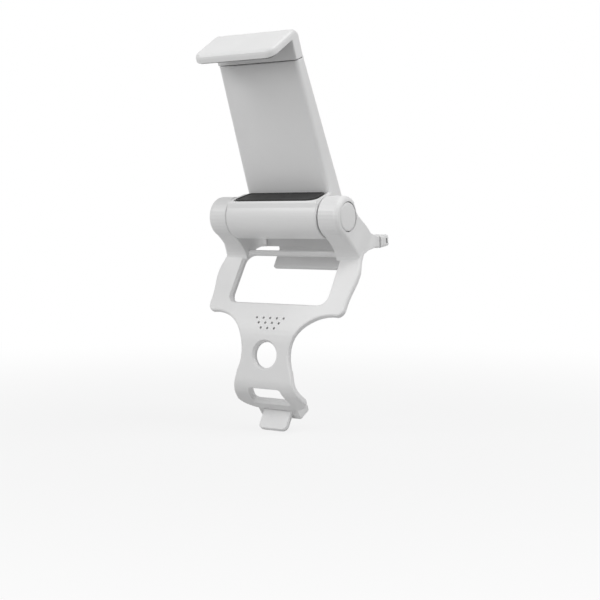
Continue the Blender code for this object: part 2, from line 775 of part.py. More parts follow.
def make_hinge(parent):
    cap_inner = EAR_OUT - CAP_T
    head_outer = cap_inner - SEAT_GAP
    head_inner = head_outer - HEAD_T
    wave_outer = head_inner - SEAT_GAP
    bolt = join(rod(HEAD_R, head_inner, head_outer, HINGE_Y, HINGE_Z, 32),
                rod(BOLT_R, -head_outer + 0.0004, head_inner + 0.0005, HINGE_Y, HINGE_Z, 32))
    piece("hinge_bolt", bolt, "zinc_steel", parent)
    nut = cut(rod(NUT_R, -head_outer + 0.0002, -head_inner, HINGE_Y, HINGE_Z, 6),
              rod(BOLT_R + BOLT_CLEAR, -EAR_OUT, 0.0, HINGE_Y, HINGE_Z, 32))
    piece("hinge_nut", nut, "zinc_steel", parent)
    wave = cut(rod(NUT_R - 0.0003, -wave_outer, -wave_outer + WAVE_T, HINGE_Y, HINGE_Z, 32),
               rod(BOLT_R + 0.0003, -EAR_OUT, 0.0, HINGE_Y, HINGE_Z, 32))
    piece("spring_washer", wave, "spring_steel", parent)
    for side, name in ((1, "right"), (-1, "left")):
        low, high = sorted((side * cap_inner, side * EAR_OUT))
        cap = bevelled(rod(CAP_R, low, high, HINGE_Y, HINGE_Z, 40), 0.0004, 2, 60.0)
        piece("hinge_cap_" + name, cap, "white_abs", parent)
        low, high = sorted((side * (EAR_IN - SEAT_GAP - WASHER_T), side * (EAR_IN - SEAT_GAP)))
        washer = cut(rod(WASHER_R, low, high, HINGE_Y, HINGE_Z, 32),
                     rod(BOLT_R + 0.0002, low - 0.001, high + 0.001, HINGE_Y, HINGE_Z, 32))
        piece("friction_washer_" + name, washer, "acetal", parent)


# Lower jaw, its pad, back housing and cover

def back_half(y):
    """Half width of the back plate at a height, which narrows evenly to the top."""
    share = (y - BACK_LOW) / (BACK_TOP - BACK_LOW)
    return BACK_HALF_LOW + (BACK_HALF_TOP - BACK_HALF_LOW) * share


def back_rear(y):
    """Where the back plate's rear face lies at a height."""
    share = (y - BACK_LOW) / (BACK_TOP - BACK_LOW)
    return -BACK_FRONT - BACK_DEPTH_LOW - (BACK_DEPTH_TOP - BACK_DEPTH_LOW) * share


def tapered(y_low, y_high, inset, front, rear_inset):
    """A block that follows the back plate's taper, set in from its sides and its rear face."""
    mesh = bpy.data.meshes.new("taper")
    form = bmesh.new()
    bmesh.ops.create_cube(form, size=2.0)
    for vert in form.verts:
        y = y_high if vert.co.y > 0 else y_low
        x = math.copysign(back_half(y) - inset, vert.co.x)
        z = front if vert.co.z > 0 else back_rear(y) + rear_inset
        vert.co = (x, y, z)
    form.to_mesh(mesh)
    form.free()
    return scratch(mesh)


def ledge_y(z):
    """Height of the pad's seat over the barrel, which rises to the front."""
    share = (z + BACK_FRONT) / (LEDGE_FRONT + BACK_FRONT)
    return LEDGE_REAR_Y + (LEDGE_FRONT_Y - LEDGE_REAR_Y) * share


def cover_screw_places():
    heights = (COVER_LOW + COVER_SCREW_LOW, BACK_TOP - COVER_SCREW_TOP)
    return [(side * (back_half(y) - COVER_SCREW_IN), y) for side in (1, -1) for y in heights]


def plan_prism(outline, low, high):
    """An outline in (x, z), given height along y."""
    body = prism([(x, -z) for x, z in outline], low, high)
    body.data.transform(Matrix.Rotation(math.radians(-90.0), 4, "X"))
    return body


def pad_plan(grow):
    """The lower pad's outline in (x, z): a little wider in front, with rounded corners."""
    rear = -BACK_FRONT - REBATE + SEAT_GAP - grow
    front = PAD_FRONT + grow
    corners = [(-PAD_REAR_HALF - grow, rear), (PAD_REAR_HALF + grow, rear), (PAD_HALF + grow, front),
               (-PAD_HALF - grow, front)]
    return rounded(corners, (PAD_CORNER, PAD_CORNER, PAD_FRONT_CORNER, PAD_FRONT_CORNER), 5)


def sloped(low_drop, high_drop, rear, front):
    """A slab that follows the ledge's slope, between two heights over it."""
    profile = [(ledge_y(rear) + low_drop, rear), (ledge_y(front) + low_drop, front),
               (ledge_y(front) + high_drop, front), (ledge_y(rear) + high_drop, rear)]
    return prism(profile, -2.0 * BARREL_HALF, 2.0 * BARREL_HALF, "X")


def make_jaw_body():
    """The barrel with its ledge, and the tapered back, before it is hollowed."""
    barrel = bevelled(rod(BARREL_R, -BARREL_HALF, BARREL_HALF, 0.0, 0.0, 56), 0.0004, 1, 60.0)
    nose = math.sqrt(BARREL_R ** 2 - NOSE_LOW ** 2) - 0.0002
    seat = prism([(NOSE_LOW, nose), (LEDGE_FRONT_Y - NOSE_R, LEDGE_FRONT), (LEDGE_FRONT_Y, LEDGE_FRONT - NOSE_R),
                  (LEDGE_REAR_Y, -BACK_FRONT), (LEDGE_REAR_Y - 0.0006, -BACK_FRONT - 0.0010),
                  (-0.0040, -BACK_FRONT - 0.0010)],
                 -BARREL_HALF + 0.0002, BARREL_HALF - 0.0002, "X")
    back = softened(tapered(BACK_LOW, BACK_TOP, 0.0, -BACK_FRONT, 0.0), BACK_EDGE, back_edge_share)
    over = sloped(0.0, 2.0 * BARREL_R, -BACK_FRONT, 2.0 * LEDGE_FRONT)
    return join(cut(join(barrel, seat), over), back)


def back_edge_share(place):
    """The back's upright edges are round, and its ends are nearly sharp."""
    return 1.0 if BACK_LOW + WALL < place.y < BACK_TOP - WALL else BACK_END_SHARE


def make_lower_jaw(parent):
    jaw = make_jaw_body()
    cut(jaw, combine(plan_prism(pad_plan(SEAT_GAP), 0.0, 2.0 * BARREL_R),
                     [sloped(PAD_PROUD - PAD_T - SEAT_GAP, REBATE_HEIGHT, -2.0 * BACK_FRONT, 2.0 * LEDGE_FRONT)],
                     "INTERSECT"))
    cut(jaw, tapered(HOLLOW_FLOOR, BACK_TOP + 0.0020, WALL, -BACK_FRONT - WALL, COVER_T))
    cut(jaw, tapered(COVER_LOW, BACK_TOP - 0.0006, WALL, -BACK_FRONT - BACK_DEPTH_TOP + COVER_T + 0.0002, -0.0020))
    tongue_rear = -BACK_FRONT - WALL - SLIDE_GAP - TONGUE_T
    for x, y in cover_screw_places():
        join(jaw, post(COVER_BOSS_R, x, y, back_rear(y) + COVER_T + SEAT_GAP, -BACK_FRONT - WALL / 2.0))
        cut(jaw, post(COVER_SCREW_R + 0.0001, x, y, -0.05, -BACK_FRONT - WALL))
    for side in (1, -1):
        join(jaw, post(POST_R, side * SLOT_X, POST_Y, tongue_rear + 0.0002, -BACK_FRONT - WALL / 2.0, 12))
        low, high = sorted((side * (EAR_IN - 2.0 * SEAT_GAP - WASHER_T), side * (BARREL_HALF + 0.001)))
        cut(jaw, rod(WASHER_R + SEAT_GAP, low, high, 0.0, 0.0, 32))
    cut(jaw, rod(BOLT_R + BOLT_CLEAR, -BARREL_HALF - 0.001, BARREL_HALF + 0.001, 0.0, 0.0, 32))
    piece("lower_jaw", jaw, "white_abs", parent)


def make_lower_pad(parent):
    slab = sloped(PAD_PROUD - PAD_T, PAD_PROUD, -2.0 * BACK_FRONT, 2.0 * LEDGE_FRONT)
    pad = combine(plan_prism(pad_plan(0.0), 0.0, 2.0 * BARREL_R), [slab], "INTERSECT")
    piece("lower_pad", pad, "pad_rubber", parent)


def make_back_cover(parent):
    low = COVER_LOW + SEAT_GAP
    high = BACK_TOP - 0.0006 - SEAT_GAP
    cover = tapered(low, high, WALL + SEAT_GAP, 0.0, 0.0)
    for vert in cover.data.vertices:
        if vert.co.z == 0.0:
            vert.co.z = back_rear(vert.co.y) + COVER_T
    for x, y in cover_screw_places():
        rear = back_rear(y)
        cut(cover, post(COVER_SCREW_R + 0.0002, x, y, rear - 0.002, rear + 0.004),
            post(COVER_SCREW_HEAD + SEAT_GAP, x, y, rear - 0.002, rear + COVER_T / 2.0))
    piece("back_cover", cover, "white_abs", parent)
    for i, (x, y) in enumerate(cover_screw_places()):
        rear = back_rear(y)
        head_low = rear - 0.0002
        screw = join(post(COVER_SCREW_HEAD, x, y, head_low, rear + COVER_T / 2.0 - SEAT_GAP),
                     post(COVER_SCREW_R, x, y, head_low + 0.0003, -BACK_FRONT - WALL - SEAT_GAP, 16))
        piece("cover_screw_%d" % (i + 1), screw, "zinc_steel", parent)


# Upper jaw, its pad and tongue

def jaw_low(z):
    """Height of the jaw's underside, which falls to the front."""
    return JAW_LOW - (z + BACK_FRONT) * math.tan(JAW_SLOPE)


def jaw_profile():
    """The jaw's side outline in (y, z): a rounded back, a top that falls forward, and a thin front edge."""
    rear = back_rear(BACK_TOP)
    high = JAW_T / math.cos(JAW_SLOPE)
    slope = math.degrees(JAW_SLOPE)
    bend_z = rear + JAW_BACK_R
    bend_y = jaw_low(bend_z) + high - JAW_BACK_R / math.cos(JAW_SLOPE)
    points = arc(bend_y, bend_z, JAW_BACK_R, -90.0, slope, 6)
    points += [(jaw_low(JAW_REACH) + high, JAW_REACH), (jaw_low(JAW_REACH), JAW_REACH)]
    points += [(jaw_low(-BACK_FRONT), -BACK_FRONT), (BACK_TOP + SEAT_GAP, -BACK_FRONT)]
    return points + [(BACK_TOP + SEAT_GAP, rear)]


def jaw_plan(half, rear, front, radius):
    return rounded([(-half, rear), (half, rear), (half, front), (-half, front)], radius, 6)


def jaw_edge_share(place):
    """The jaw's upper edges are round, its lower edges are less so, and the edge at the seam is nearly sharp."""
    if place.y < BACK_TOP + WALL:
        return BACK_END_SHARE
    return 1.0 if place.y > jaw_low(place.z) + JAW_T / 2.0 or place.z < -BACK_FRONT - WALL else JAW_LOWER_SHARE


def upper_pad_cut(inset, drop, depth):
    """A sloped slab under the jaw, set in from its edges, between two heights over the underside."""
    rear = -BACK_FRONT + inset
    front = JAW_REACH - inset
    profile = [(jaw_low(front) + drop, front), (jaw_low(front) + drop + depth, front),
               (jaw_low(rear) + drop + depth, rear), (jaw_low(rear) + drop, rear)]
    slab = prism(profile, -JAW_HALF, JAW_HALF, "X")
    plan = plan_prism(jaw_plan(JAW_HALF - inset, rear - 2.0 * JAW_CORNER, front, JAW_CORNER - inset),
                      BACK_TOP, BACK_TOP + JAW_ROOM)
    return combine(slab, [plan], "INTERSECT")


def make_upper_jaw(parent):
    plan = plan_prism(jaw_plan(JAW_HALF, back_rear(BACK_TOP) - 2.0 * JAW_CORNER, JAW_REACH, JAW_CORNER),
                      BACK_TOP - JAW_ROOM, BACK_TOP + JAW_ROOM)
    jaw = combine(prism(jaw_profile(), -2.0 * JAW_HALF, 2.0 * JAW_HALF, "X"), [plan], "INTERSECT")
    softened(jaw, JAW_EDGE, jaw_edge_share, 3, 30.0)
    cut(jaw, upper_pad_cut(UPPER_PAD_INSET - SEAT_GAP, -0.001, 0.001 + UPPER_PAD_SUNK + SEAT_GAP))
    front = -BACK_FRONT - WALL - SLIDE_GAP
    tongue = block((-TONGUE_HALF, TONGUE_FOOT, front - TONGUE_T), (TONGUE_HALF, BACK_TOP + 0.0020, front))
    for side in (1, -1):
        x = side * SLOT_X
        cut(tongue, block((x - SLOT_W / 2.0, TONGUE_FOOT - 0.001, front - 0.01),
                          (x + SLOT_W / 2.0, SLOT_TOP, front + 0.01)))
    piece("upper_jaw", join(jaw, tongue), "white_abs", parent)


def make_upper_pad(parent):
    pad = upper_pad_cut(UPPER_PAD_INSET, UPPER_PAD_SUNK - UPPER_PAD_T, UPPER_PAD_T)
    piece("upper_pad", pad, "pad_rubber", parent)


# Springs that pull the upper jaw down

def make_springs(parent):
    middle = -BACK_FRONT - WALL - SLIDE_GAP - TONGUE_T / 2.0
    length = SLOT_TOP - SEAT_GAP - SPRING_WIRE - SPRING_FOOT
    for side, name in ((1, "right"), (-1, "left")):
        curve = bpy.data.curves.new("coil", "CURVE")
        curve.dimensions = "3D"
        curve.bevel_depth = SPRING_WIRE
        curve.bevel_resolution = 0
        curve.use_fill_caps = True
        line = curve.splines.new("POLY")
        count = SPRING_TURNS * SPRING_POINTS
        line.points.add(count)
        for i, point in enumerate(line.points):
            turn = 2.0 * math.pi * i / SPRING_POINTS
            point.co = (side * SLOT_X + SPRING_R * math.cos(turn), SPRING_FOOT + length * i / count,
                        middle + SPRING_R * math.sin(turn), 1.0)
        holder = bpy.data.objects.new("coil", curve)
        CUTTERS.objects.link(holder)
        mesh = evaluated_mesh(holder)
        bpy.data.objects.remove(holder, do_unlink=True)
        form = bmesh.new()
        form.from_mesh(mesh)
        bmesh.ops.remove_doubles(form, verts=form.verts, dist=1e-7)
        bmesh.ops.recalc_face_normals(form, faces=form.faces)
        form.to_mesh(mesh)
        form.free()
        piece("jaw_spring_" + name, scratch(mesh), "spring_steel", parent)


# Assembly

def empty(name, place, turn, parent=None):
    holder = bpy.data.objects.new(name, None)
    CLIP.objects.link(holder)
    holder.location = place
    holder.rotation_euler = (turn, 0.0, 0.0)
    holder.parent = parent
    return holder


def main():
    seat = Vector((0.0, -(WINDOW_H / 2.0 + SPEAKER_TOP) / 2.0 + 0.0003, -PLATE_T))
    face_place = -(Matrix.Rotation(FACE_RISE, 3, "X") @ seat)
    face = empty("face_axes", face_place, FACE_RISE)
    clamp = empty("clamp_axes", (0.0, HINGE_Y, HINGE_Z), CLAMP_TILT, face)
    make_face_frame(face)
    make_rear_hook(face)
    make_hinge(face)
    make_lower_jaw(clamp)
    make_lower_pad(clamp)
    make_back_cover(clamp)
    make_upper_jaw(clamp)
    make_upper_pad(clamp)
    make_springs(clamp)


clear_scene()
CLIP = collection("phone_clip")
CUTTERS = collection("cutters")
main()
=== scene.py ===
"""Controller phone clip: the looks of a white moulded clip with a clamp that holds a phone.

The moulded parts come with the frame. This file gives them their finishes, makes the small turned, wound
and moulded pieces as smooth surfaces, and sets the clip on a pale floor in soft light.
Lengths are in metres, +Z up, +X to the viewer's right, -Y toward the viewer.
"""

import bpy
import numpy as np
from mathutils import Matrix, Vector


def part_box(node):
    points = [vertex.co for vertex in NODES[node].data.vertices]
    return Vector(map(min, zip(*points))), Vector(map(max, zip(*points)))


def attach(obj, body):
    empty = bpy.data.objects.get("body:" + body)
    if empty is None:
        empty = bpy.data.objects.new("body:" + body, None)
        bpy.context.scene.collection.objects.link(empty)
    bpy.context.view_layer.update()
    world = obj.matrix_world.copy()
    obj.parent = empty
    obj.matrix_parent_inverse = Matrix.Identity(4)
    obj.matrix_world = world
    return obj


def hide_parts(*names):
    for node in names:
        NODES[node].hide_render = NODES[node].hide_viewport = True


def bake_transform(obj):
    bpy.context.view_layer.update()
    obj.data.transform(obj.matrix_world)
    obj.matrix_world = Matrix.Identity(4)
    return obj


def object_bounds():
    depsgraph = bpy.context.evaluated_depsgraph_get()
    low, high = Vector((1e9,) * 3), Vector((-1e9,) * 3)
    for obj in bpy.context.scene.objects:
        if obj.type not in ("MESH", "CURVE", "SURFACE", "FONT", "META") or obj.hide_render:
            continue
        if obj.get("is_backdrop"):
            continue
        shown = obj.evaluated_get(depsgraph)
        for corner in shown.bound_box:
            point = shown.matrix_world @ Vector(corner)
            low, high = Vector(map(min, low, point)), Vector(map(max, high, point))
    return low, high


bl_info = {
    "name": "Controller Phone Clip",
    "version": (1, 0, 0),
    "blender": (4, 5, 0),
    "location": "View3D > Sidebar > Phone Clip",
    "description": "Finishes and small pieces for a white moulded clip that holds a phone",
    "category": "Object",
}

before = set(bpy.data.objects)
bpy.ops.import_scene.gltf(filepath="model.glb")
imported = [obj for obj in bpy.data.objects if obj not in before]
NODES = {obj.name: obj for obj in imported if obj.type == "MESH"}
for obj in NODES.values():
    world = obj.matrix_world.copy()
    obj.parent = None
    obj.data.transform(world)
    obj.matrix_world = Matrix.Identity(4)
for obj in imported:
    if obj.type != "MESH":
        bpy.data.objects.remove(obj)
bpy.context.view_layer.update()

# the clamp's own axes, from the middle of the hinge: across, up the back plate, forward over the jaws
ACROSS = np.array((1.0, 0.0, 0.0))
UP_BACK = np.array((0.0, -0.387516, 0.921863))
FORWARD = np.array((0.0, -0.921863, -0.387516))
HINGE = np.array((0.0, 0.00412219, 0.03757752))
CLAMP_AXES = np.array((ACROSS, UP_BACK, FORWARD))

# the face frame's directions, up along the face and square out of it, and from them the way that the
# rear hook's screws point, out of the back
UP_FACE = np.array((0.0, 0.519519, 0.854459))
OUT_OF_FACE = np.array((0.0, -0.854459, 0.519519))
OUT_OF_HOOK = 0.6273 * UP_FACE - 0.7788 * OUT_OF_FACE

# points round a turned piece, along a rounded edge's arc, and along the arc of a pad's corner
ROUND_COLUMNS = 96
EDGE_STEPS = 7
CORNER_STEPS = 9


def linear(code):
    """A hex sRGB colour as linear red, green, blue and alpha."""
    parts = [int(code[i:i + 2], 16) / 255.0 for i in (1, 3, 5)]
    return [p / 12.92 if p <= 0.04045 else ((p + 0.055) / 1.055) ** 2.4 for p in parts] + [1.0]


# Settings that a user may change

class ClipColours(bpy.types.PropertyGroup):
    """Colours of the clip's materials and of the floor"""
    plastic: bpy.props.FloatVectorProperty(
        name="Plastic", description="Colour of the white mouldings", subtype="COLOR", size=4,
        default=linear("#E6E6E6"), min=0.0, max=1.0)
    plastic_shade: bpy.props.FloatVectorProperty(
        name="Plastic shade", description="Slightly greyer patches in the moulded plastic",
        subtype="COLOR", size=4, default=linear("#DFDFDF"), min=0.0, max=1.0)
    rubber: bpy.props.FloatVectorProperty(
        name="Rubber", description="Colour of the two grip pads", subtype="COLOR", size=4,
        default=linear("#121212"), min=0.0, max=1.0)
    rubber_dust: bpy.props.FloatVectorProperty(
        name="Rubber dust", description="Colour of the dust that clings to the pads", subtype="COLOR",
        size=4, default=linear("#2C2B2A"), min=0.0, max=1.0)
    zinc: bpy.props.FloatVectorProperty(
        name="Zinc", description="Colour of the plated screws, bolt and nut", subtype="COLOR", size=4,
        default=linear("#C3C5C9"), min=0.0, max=1.0)
    zinc_blue: bpy.props.FloatVectorProperty(
        name="Zinc blue", description="Bluer crystals in the zinc plate", subtype="COLOR", size=4,
        default=linear("#9DA3AD"), min=0.0, max=1.0)
    spring: bpy.props.FloatVectorProperty(
        name="Spring steel", description="Colour of the wound springs", subtype="COLOR", size=4,
        default=linear("#9C9EA2"), min=0.0, max=1.0)
    spring_line: bpy.props.FloatVectorProperty(
        name="Drawing lines", description="Darker lines that the die leaves on the wire",
        subtype="COLOR", size=4, default=linear("#6E6A66"), min=0.0, max=1.0)
    acetal: bpy.props.FloatVectorProperty(
        name="Acetal", description="Colour of the friction washers", subtype="COLOR", size=4,
        default=linear("#DDDAD2"), min=0.0, max=1.0)
    acetal_ring: bpy.props.FloatVectorProperty(
        name="Acetal rings", description="Slightly darker rings from the lathe tool", subtype="COLOR",
        size=4, default=linear("#CFCBC0"), min=0.0, max=1.0)
    floor: bpy.props.FloatVectorProperty(
        name="Floor", description="Colour of the floor", subtype="COLOR", size=4,
        default=linear("#BCBCBC"), min=0.0, max=1.0)


class ClipSizes(bpy.types.PropertyGroup):
    """Sizes of the small pieces' details"""
    cap_crown: bpy.props.FloatProperty(
        name="Cap crown", description="How far the middle of a hinge cap stands over its rim",
        default=0.00025, min=0.0, max=0.0008, unit="LENGTH")
    cap_round: bpy.props.FloatProperty(
        name="Cap rim", description="Rounding of a hinge cap's rim",
        default=0.0005, min=0.0001, max=0.001, unit="LENGTH")
    pad_round: bpy.props.FloatProperty(
        name="Pad edge", description="Rounding of a rubber pad's upper edge",
        default=0.0003, min=0.0001, max=0.0005, unit="LENGTH")
    pad_bead: bpy.props.FloatProperty(
        name="Pad bead", description="Height of the bead round the lower pad, which stops the phone",
        default=0.00028, min=0.00001, max=0.0005, unit="LENGTH")
    spring_turns: bpy.props.IntProperty(
        name="Spring turns", description="Turns in each jaw spring", default=22, min=6, max=40)
    spring_wire: bpy.props.FloatProperty(
        name="Spring wire", description="Radius of the springs' wire",
        default=0.0002, min=0.0001, max=0.0003, unit="LENGTH")
    recess_width: bpy.props.FloatProperty(
        name="Recess width", description="Width of the cross recess in the screw heads",
        default=0.00055, min=0.0003, max=0.001, unit="LENGTH")
    plastic_grain: bpy.props.FloatProperty(
        name="Plastic grain", description="Size of the fine grain that the mould leaves on the plastic",
        default=0.00035, min=0.0001, max=0.001, unit="LENGTH")


class ClipStage(bpy.types.PropertyGroup):
    """Strengths of the lamps and of the room's light"""
    key_power: bpy.props.FloatProperty(
        name="Key lamp", description="Power of the soft lamp high on the left",
        default=2.4, min=0.0, max=50.0, unit="POWER")
    front_power: bpy.props.FloatProperty(
        name="Front lamp", description="Power of the soft lamp in front",
        default=2.1, min=0.0, max=50.0, unit="POWER")
    top_power: bpy.props.FloatProperty(
        name="Top lamp", description="Power of the soft lamp overhead on the right",
        default=3.9, min=0.0, max=50.0, unit="POWER")
    side_power: bpy.props.FloatProperty(
        name="Side lamp", description="Power of the soft lamp on the right",
        default=0.7, min=0.0, max=50.0, unit="POWER")
    room: bpy.props.FloatProperty(
        name="Room light", description="Strength of the even light from all round",
        default=0.265, min=0.0, max=2.0)


# Finishes

def node(tree, kind, settings=None, values=None, links=None):
    """Add a shader node with its settings, its unlinked values and what feeds it."""
    made = tree.nodes.new(kind)
    for key, value in (settings or {}).items():
        setattr(made, key, value)
    for key, value in (values or {}).items():
        made.inputs[key].default_value = value
    for key, source in (links or {}).items():
        tree.links.new(source, made.inputs[key])
    return made


def started(name, values):
    """A new material with values on its surface shader, its node tree and the object's own coordinates."""
    made = bpy.data.materials.new(name)
    made.use_nodes = True
    tree = made.node_tree
    for key, value in values.items():
        tree.nodes["Principled BSDF"].inputs[key].default_value = value
    return made, tree, node(tree, "ShaderNodeTexCoord").outputs["Object"]


def finished(made, feeds):
    """Link what feeds the surface shader's inputs, and give the material back."""
    tree = made.node_tree
    for key, source in feeds.items():
        tree.links.new(source, tree.nodes["Principled BSDF"].inputs[key])
    return made


def satin_white_abs():
    """Injection moulded ABS from a finely eroded mould. It is satin, with a faint grain, slow waves of gloss
    where the melt flowed, and tiny handling scuffs that are a little shinier."""
    colours = bpy.context.scene.clip_colours
    # real eroded grain is 0.05 to 0.1 mm, and it is drawn coarser so that it shows
    grain_size = bpy.context.scene.clip_sizes.plastic_grain
    grain_depth = 0.00002
    flow_size = 0.022
    scuff_size = 0.0016
    made, tree, place = started("satin_white_abs", {"IOR": 1.53, "Metallic": 0.0})
    grain = node(tree, "ShaderNodeTexNoise", None, {"Scale": 1.0 / grain_size, "Detail": 2.0},
                 {"Vector": place})
    flow = node(tree, "ShaderNodeTexNoise", None,
                {"Scale": 1.0 / flow_size, "Detail": 3.0, "Distortion": 0.6}, {"Vector": place})
    scuff = node(tree, "ShaderNodeTexNoise", None,
                 {"Scale": 1.0 / scuff_size, "Detail": 4.0, "Roughness": 0.7}, {"Vector": place})
    shade = node(tree, "ShaderNodeMix", {"data_type": "RGBA"},
                 {"A": colours.plastic, "B": colours.plastic_shade}, {"Factor": flow.outputs["Fac"]})
    gloss = node(tree, "ShaderNodeMapRange", None,
                 {"From Min": 0.3, "From Max": 0.7, "To Min": 0.36, "To Max": 0.46},
                 {"Value": flow.outputs["Fac"]})
    shine = node(tree, "ShaderNodeMapRange", None,
                 {"From Min": 0.60, "From Max": 0.74, "To Min": 0.0, "To Max": 0.08},
                 {"Value": scuff.outputs["Fac"]})
    rough = node(tree, "ShaderNodeMath", {"operation": "SUBTRACT"}, None,
                 {0: gloss.outputs["Result"], 1: shine.outputs["Result"]})
    bump = node(tree, "ShaderNodeBump", None, {"Strength": 0.10, "Distance": grain_depth},
                {"Height": grain.outputs["Fac"]})
    return finished(made, {"Base Color": shade.outputs["Result"], "Roughness": rough.outputs["Value"],
                           "Normal": bump.outputs["Normal"]})


def moulded_black_rubber():
    """Moulded rubber. It is matt, dark grey where light grazes it, with a close stipple and a little dust."""
    colours = bpy.context.scene.clip_colours
    stipple_size = 0.0005
    stipple_depth = 0.00005
    dust_size = 0.004
    made, tree, place = started("moulded_black_rubber",
                                {"IOR": 1.50, "Metallic": 0.0, "Specular IOR Level": 0.60})
    stipple = node(tree, "ShaderNodeTexVoronoi", {"feature": "SMOOTH_F1"},
                   {"Scale": 1.0 / stipple_size, "Smoothness": 0.6}, {"Vector": place})
    dust = node(tree, "ShaderNodeTexNoise", None,
                {"Scale": 1.0 / dust_size, "Detail": 5.0, "Roughness": 0.65}, {"Vector": place})
    share = node(tree, "ShaderNodeMapRange", None,
                 {"From Min": 0.45, "From Max": 0.8, "To Min": 0.0, "To Max": 0.25},
                 {"Value": dust.outputs["Fac"]})
    colour = node(tree, "ShaderNodeMix", {"data_type": "RGBA"},
                  {"A": colours.rubber, "B": colours.rubber_dust}, {"Factor": share.outputs["Result"]})
    rough = node(tree, "ShaderNodeMapRange", None, {"To Min": 0.62, "To Max": 0.82},
                 {"Value": dust.outputs["Fac"]})
    bump = node(tree, "ShaderNodeBump", None, {"Strength": 0.35, "Distance": stipple_depth},
                {"Height": stipple.outputs["Distance"]})
    return finished(made, {"Base Color": colour.outputs["Result"], "Roughness": rough.outputs["Result"],
                           "Normal": bump.outputs["Normal"]})


def zinc_plated_steel():
    """Bright zinc plate on turned steel, with pale blue grey crystals and soft polish marks."""
    colours = bpy.context.scene.clip_colours
    crystal_size = 0.0007
    mark_size = 0.0003
    mark_depth = 0.00001
    made, tree, place = started("zinc_plated_steel", {"Metallic": 1.0})
    crystals = node(tree, "ShaderNodeTexVoronoi", None, {"Scale": 1.0 / crystal_size}, {"Vector": place})
    tint = node(tree, "ShaderNodeMapRange", None, {"To Min": 0.0, "To Max": 0.35},
                {"Value": crystals.outputs["Color"]})
    colour = node(tree, "ShaderNodeMix", {"data_type": "RGBA"},
                  {"A": colours.zinc, "B": colours.zinc_blue}, {"Factor": tint.outputs["Result"]})
    marks = node(tree, "ShaderNodeTexNoise", None, {"Scale": 1.0 / mark_size, "Detail": 3.0},
                 {"Vector": place})
    rough = node(tree, "ShaderNodeMapRange", None, {"To Min": 0.22, "To Max": 0.40},
                 {"Value": marks.outputs["Fac"]})
    bump = node(tree, "ShaderNodeBump", None, {"Strength": 0.08, "Distance": mark_depth},
                {"Height": marks.outputs["Fac"]})
    return finished(made, {"Base Color": colour.outputs["Result"], "Roughness": rough.outputs["Result"],
                           "Normal": bump.outputs["Normal"]})


def drawn_spring_steel():
    """Drawn wire, oil tempered. It is darker than plate, with fine marks from the drawing die."""
    colours = bpy.context.scene.clip_colours
    line_size = 0.00025
    made, tree, place = started("drawn_spring_steel", {"Metallic": 1.0})
    lines = node(tree, "ShaderNodeTexNoise", None,
                 {"Scale": 1.0 / line_size, "Detail": 4.0, "Roughness": 0.6}, {"Vector": place})
    colour = node(tree, "ShaderNodeMix", {"data_type": "RGBA"},
                  {"A": colours.spring, "B": colours.spring_line}, {"Factor": lines.outputs["Fac"]})
    rough = node(tree, "ShaderNodeMapRange", None, {"To Min": 0.25, "To Max": 0.45},
                 {"Value": lines.outputs["Fac"]})
    return finished(made, {"Base Color": colour.outputs["Result"], "Roughness": rough.outputs["Result"]})


def turned_acetal():
    """Turned acetal. It is milky and waxy, with fine rings from the lathe tool about the hinge's axis."""
    colours = bpy.context.scene.clip_colours
    # a ring texture draws 20 / (2 pi) rings in each unit of its scale, which makes these 1.6 mm apart:
    # real tool marks are 0.1 mm apart, and they are drawn coarser so that they show
    ring_size = 0.005
    ring_depth = 0.00002
    made, tree, place = started("turned_acetal", {"IOR": 1.48, "Metallic": 0.0, "Roughness": 0.38})
    centred = node(tree, "ShaderNodeMapping", None, {"Location": tuple(-HINGE)}, {"Vector": place})
    rings = node(tree, "ShaderNodeTexWave", {"wave_type": "RINGS", "rings_direction": "X"},
                 {"Scale": 1.0 / ring_size, "Distortion": 0.3}, {"Vector": centred.outputs["Vector"]})
    colour = node(tree, "ShaderNodeMix", {"data_type": "RGBA"},
                  {"A": colours.acetal, "B": colours.acetal_ring}, {"Factor": rings.outputs["Fac"]})
    bump = node(tree, "ShaderNodeBump", None, {"Strength": 0.1, "Distance": ring_depth},
                {"Height": rings.outputs["Fac"]})
    return finished(made, {"Base Color": colour.outputs["Result"], "Normal": bump.outputs["Normal"]})


FINISHES = {
    "white_abs": satin_white_abs,
    "pad_rubber": moulded_black_rubber,
    "zinc_steel": zinc_plated_steel,
    "spring_steel": drawn_spring_steel,
    "acetal": turned_acetal,
}


def finish_of(slot):
    """The material for one of the record's slots, made when it is first asked for."""
    name = FINISHES[slot].__name__
    return bpy.data.materials.get(name) or FINISHES[slot]()


def dress(names, slot):
    """Give each carried-over node its finish."""
    for name in names:
        mesh = NODES[name].data
        mesh.materials.clear()
        mesh.materials.append(finish_of(slot))


# Surfaces

def mesh_points(mesh):
    """A mesh's vertices as rows of three."""
    place = np.empty(len(mesh.vertices) * 3)
    mesh.vertices.foreach_get("co", place)
    return place.reshape(-1, 3)


def clamp_points(name):
    """A node's vertices along the clamp's own axes."""
    return (mesh_points(NODES[name].data) - HINGE) @ CLAMP_AXES.T


def clamp_place(local):
    """The places of points that are given along the clamp's own axes."""
    return HINGE + local @ CLAMP_AXES


def enclosed_volume(mesh):
    """The volume that the faces enclose, a sum of a . (b x c) / 6 over the triangles. It is below 0 where
    they point inwards."""
    mesh.calc_loop_triangles()
    index = np.empty(len(mesh.loop_triangles) * 3, int)
    mesh.loop_triangles.foreach_get("vertices", index)
    a, b, c = mesh_points(mesh)[index].reshape(-1, 3, 3).transpose(1, 0, 2)
    return float(np.einsum("ij,ij->i", a, np.cross(b, c)).sum() / 6.0)


